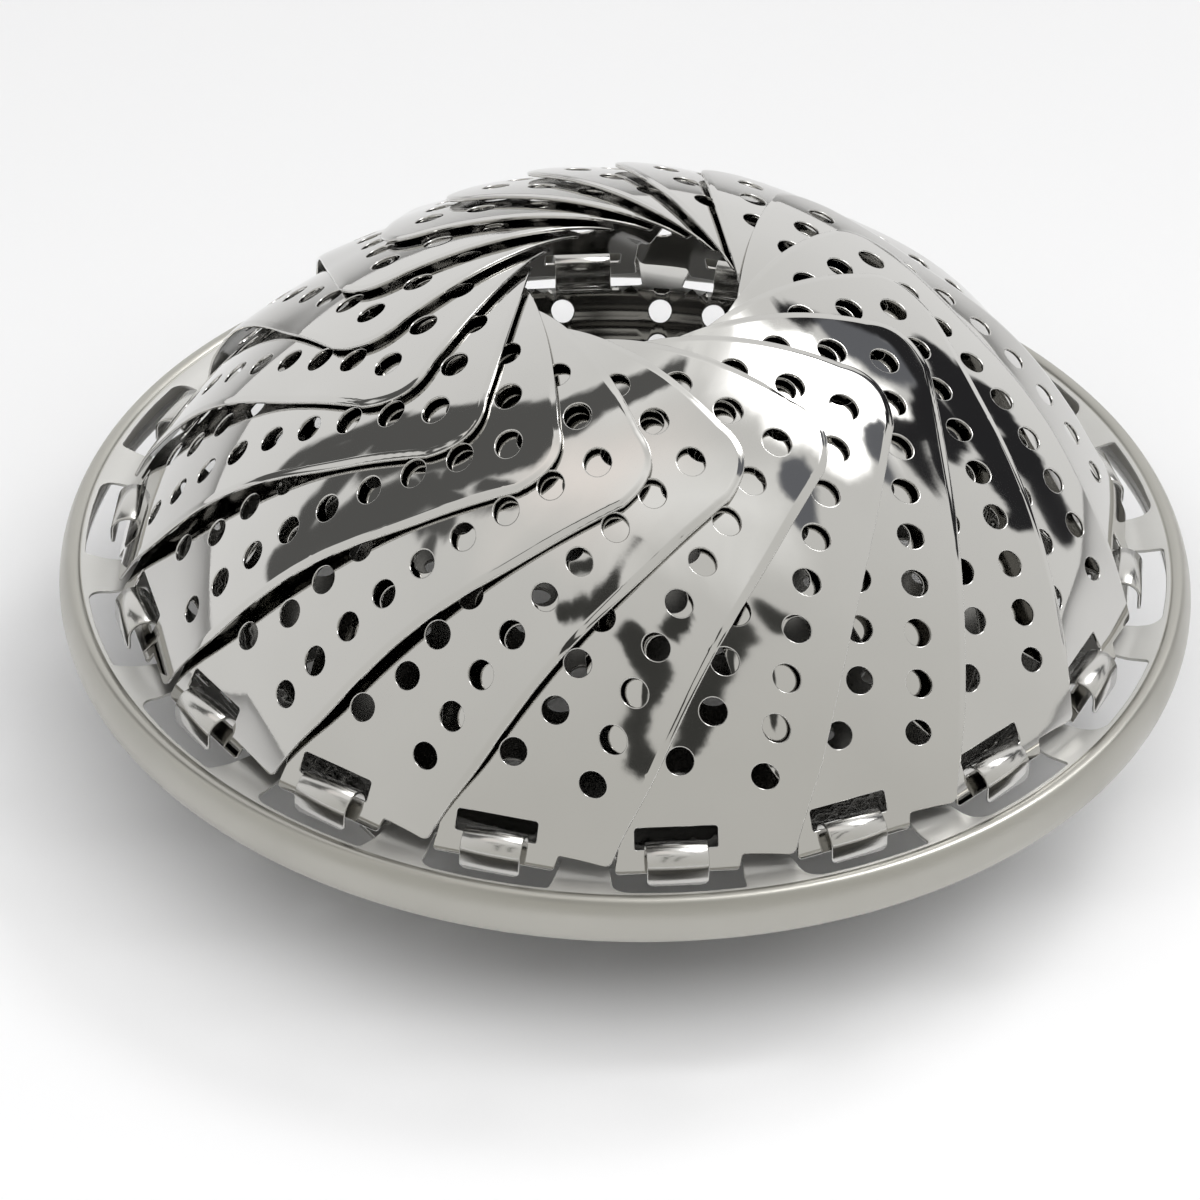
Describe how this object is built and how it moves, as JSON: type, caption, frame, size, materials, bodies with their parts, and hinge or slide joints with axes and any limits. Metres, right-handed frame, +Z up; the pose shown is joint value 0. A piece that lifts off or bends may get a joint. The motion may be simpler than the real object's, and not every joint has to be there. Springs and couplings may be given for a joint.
{
  "type": "folding vegetable steamer",
  "caption": "Folding steamer basket: a perforated dish with a rolled rim on folding legs, ringed by hinged perforated petals that close into a dome.",
  "frame": {"origin": "on the table, under the centre of the dish", "axes": "+Z up; -Y from the centre towards the first petal; the petals are closed"},
  "size_m": [0.164, 0.164, 0.0831],
  "materials": {
    "polished_steel": "mirror-polished stainless steel sheet",
    "satin_steel": "satin stainless steel sheet",
    "turned_steel": "turned stainless steel"
  },
  "bodies": {
    "base": {"dish": "satin_steel", "centre_bush": "turned_steel", "bush_nut": "turned_steel", "leg_bracket_1": "satin_steel", "leg_pin_1": "turned_steel", "leg_rivet_1": "turned_steel", "leg_bracket_2": "satin_steel", "leg_pin_2": "turned_steel", "leg_rivet_2": "turned_steel", "leg_bracket_3": "satin_steel", "leg_pin_3": "turned_steel", "leg_rivet_3": "turned_steel"},
    "petal_01": {"petal_01": "polished_steel"},
    "petal_02": {"petal_02": "polished_steel"},
    "petal_03": {"petal_03": "polished_steel"},
    "petal_04": {"petal_04": "polished_steel"},
    "petal_05": {"petal_05": "polished_steel"},
    "petal_06": {"petal_06": "polished_steel"},
    "petal_07": {"petal_07": "polished_steel"},
    "petal_08": {"petal_08": "polished_steel"},
    "petal_09": {"petal_09": "polished_steel"},
    "petal_10": {"petal_10": "polished_steel"},
    "petal_11": {"petal_11": "polished_steel"},
    "petal_12": {"petal_12": "polished_steel"},
    "petal_13": {"petal_13": "polished_steel"},
    "petal_14": {"petal_14": "polished_steel"},
    "petal_15": {"petal_15": "polished_steel"},
    "petal_16": {"petal_16": "polished_steel"},
    "petal_17": {"petal_17": "polished_steel"},
    "petal_18": {"petal_18": "polished_steel"},
    "leg_1": {"leg_1": "satin_steel"},
    "leg_2": {"leg_2": "satin_steel"},
    "leg_3": {"leg_3": "satin_steel"}
  },
  "joints": [
    {"name": "petal_01_hinge", "type": "hinge", "parent": "base", "child": "petal_01", "pos_m": [0, -0.072, 0.0353], "axis": [1, 0, 0], "range_deg": [0, 105]},
    {"name": "petal_02_hinge", "type": "hinge", "parent": "base", "child": "petal_02", "pos_m": [0.02463, -0.06766, 0.0353], "axis": [0.9397, 0.342, 0], "range_deg": [0, 105]},
    {"name": "petal_03_hinge", "type": "hinge", "parent": "base", "child": "petal_03", "pos_m": [0.04628, -0.05516, 0.0353], "axis": [0.766, 0.6428, 0], "range_deg": [0, 105]},
    {"name": "petal_04_hinge", "type": "hinge", "parent": "base", "child": "petal_04", "pos_m": [0.06235, -0.036, 0.0353], "axis": [0.5, 0.866, 0], "range_deg": [0, 105]},
    {"name": "petal_05_hinge", "type": "hinge", "parent": "base", "child": "petal_05", "pos_m": [0.07091, -0.0125, 0.0353], "axis": [0.1736, 0.9848, 0], "range_deg": [0, 105]},
    {"name": "petal_06_hinge", "type": "hinge", "parent": "base", "child": "petal_06", "pos_m": [0.07091, 0.0125, 0.0353], "axis": [-0.1736, 0.9848, 0], "range_deg": [0, 105]},
    {"name": "petal_07_hinge", "type": "hinge", "parent": "base", "child": "petal_07", "pos_m": [0.06235, 0.036, 0.0353], "axis": [-0.5, 0.866, 0], "range_deg": [0, 105]},
    {"name": "petal_08_hinge", "type": "hinge", "parent": "base", "child": "petal_08", "pos_m": [0.04628, 0.05516, 0.0353], "axis": [-0.766, 0.6428, 0], "range_deg": [0, 105]},
    {"name": "petal_09_hinge", "type": "hinge", "parent": "base", "child": "petal_09", "pos_m": [0.02463, 0.06766, 0.0353], "axis": [-0.9397, 0.342, 0], "range_deg": [0, 105]},
    {"name": "petal_10_hinge", "type": "hinge", "parent": "base", "child": "petal_10", "pos_m": [0, 0.072, 0.0353], "axis": [-1, 0, 0], "range_deg": [0, 105]},
    {"name": "petal_11_hinge", "type": "hinge", "parent": "base", "child": "petal_11", "pos_m": [-0.02463, 0.06766, 0.0353], "axis": [-0.9397, -0.342, 0], "range_deg": [0, 105]},
    {"name": "petal_12_hinge", "type": "hinge", "parent": "base", "child": "petal_12", "pos_m": [-0.04628, 0.05516, 0.0353], "axis": [-0.766, -0.6428, 0], "range_deg": [0, 105]},
    {"name": "petal_13_hinge", "type": "hinge", "parent": "base", "child": "petal_13", "pos_m": [-0.06235, 0.036, 0.0353], "axis": [-0.5, -0.866, 0], "range_deg": [0, 105]},
    {"name": "petal_14_hinge", "type": "hinge", "parent": "base", "child": "petal_14", "pos_m": [-0.07091, 0.0125, 0.0353], "axis": [-0.1736, -0.9848, 0], "range_deg": [0, 105]},
    {"name": "petal_15_hinge", "type": "hinge", "parent": "base", "child": "petal_15", "pos_m": [-0.07091, -0.0125, 0.0353], "axis": [0.1736, -0.9848, 0], "range_deg": [0, 105]},
    {"name": "petal_16_hinge", "type": "hinge", "parent": "base", "child": "petal_16", "pos_m": [-0.06235, -0.036, 0.0353], "axis": [0.5, -0.866, 0], "range_deg": [0, 105]},
    {"name": "petal_17_hinge", "type": "hinge", "parent": "base", "child": "petal_17", "pos_m": [-0.04628, -0.05516, 0.0353], "axis": [0.766, -0.6428, 0], "range_deg": [0, 105]},
    {"name": "petal_18_hinge", "type": "hinge", "parent": "base", "child": "petal_18", "pos_m": [-0.02463, -0.06766, 0.0353], "axis": [0.9397, -0.342, 0], "range_deg": [0, 105]},
    {"name": "leg_1_fold", "type": "hinge", "parent": "base", "child": "leg_1", "pos_m": [0, 0.04, 0.01785], "axis": [-1, 0, 0], "range_deg": [0, 90]},
    {"name": "leg_2_fold", "type": "hinge", "parent": "base", "child": "leg_2", "pos_m": [-0.03464, -0.02, 0.01785], "axis": [0.5, -0.866, 0], "range_deg": [0, 90]},
    {"name": "leg_3_fold", "type": "hinge", "parent": "base", "child": "leg_3", "pos_m": [0.03464, -0.02, 0.01785], "axis": [0.5, 0.866, 0], "range_deg": [0, 90]}
  ],
  "couplings": [
    {"joint": "petal_02_hinge", "follows": "petal_01_hinge", "ratio": 1},
    {"joint": "petal_03_hinge", "follows": "petal_01_hinge", "ratio": 1},
    {"joint": "petal_04_hinge", "follows": "petal_01_hinge", "ratio": 1},
    {"joint": "petal_05_hinge", "follows": "petal_01_hinge", "ratio": 1},
    {"joint": "petal_06_hinge", "follows": "petal_01_hinge", "ratio": 1},
    {"joint": "petal_07_hinge", "follows": "petal_01_hinge", "ratio": 1},
    {"joint": "petal_08_hinge", "follows": "petal_01_hinge", "ratio": 1},
    {"joint": "petal_09_hinge", "follows": "petal_01_hinge", "ratio": 1},
    {"joint": "petal_10_hinge", "follows": "petal_01_hinge", "ratio": 1},
    {"joint": "petal_11_hinge", "follows": "petal_01_hinge", "ratio": 1},
    {"joint": "petal_12_hinge", "follows": "petal_01_hinge", "ratio": 1},
    {"joint": "petal_13_hinge", "follows": "petal_01_hinge", "ratio": 1},
    {"joint": "petal_14_hinge", "follows": "petal_01_hinge", "ratio": 1},
    {"joint": "petal_15_hinge", "follows": "petal_01_hinge", "ratio": 1},
    {"joint": "petal_16_hinge", "follows": "petal_01_hinge", "ratio": 1},
    {"joint": "petal_17_hinge", "follows": "petal_01_hinge", "ratio": 1},
    {"joint": "petal_18_hinge", "follows": "petal_01_hinge", "ratio": 1}
  ]
}
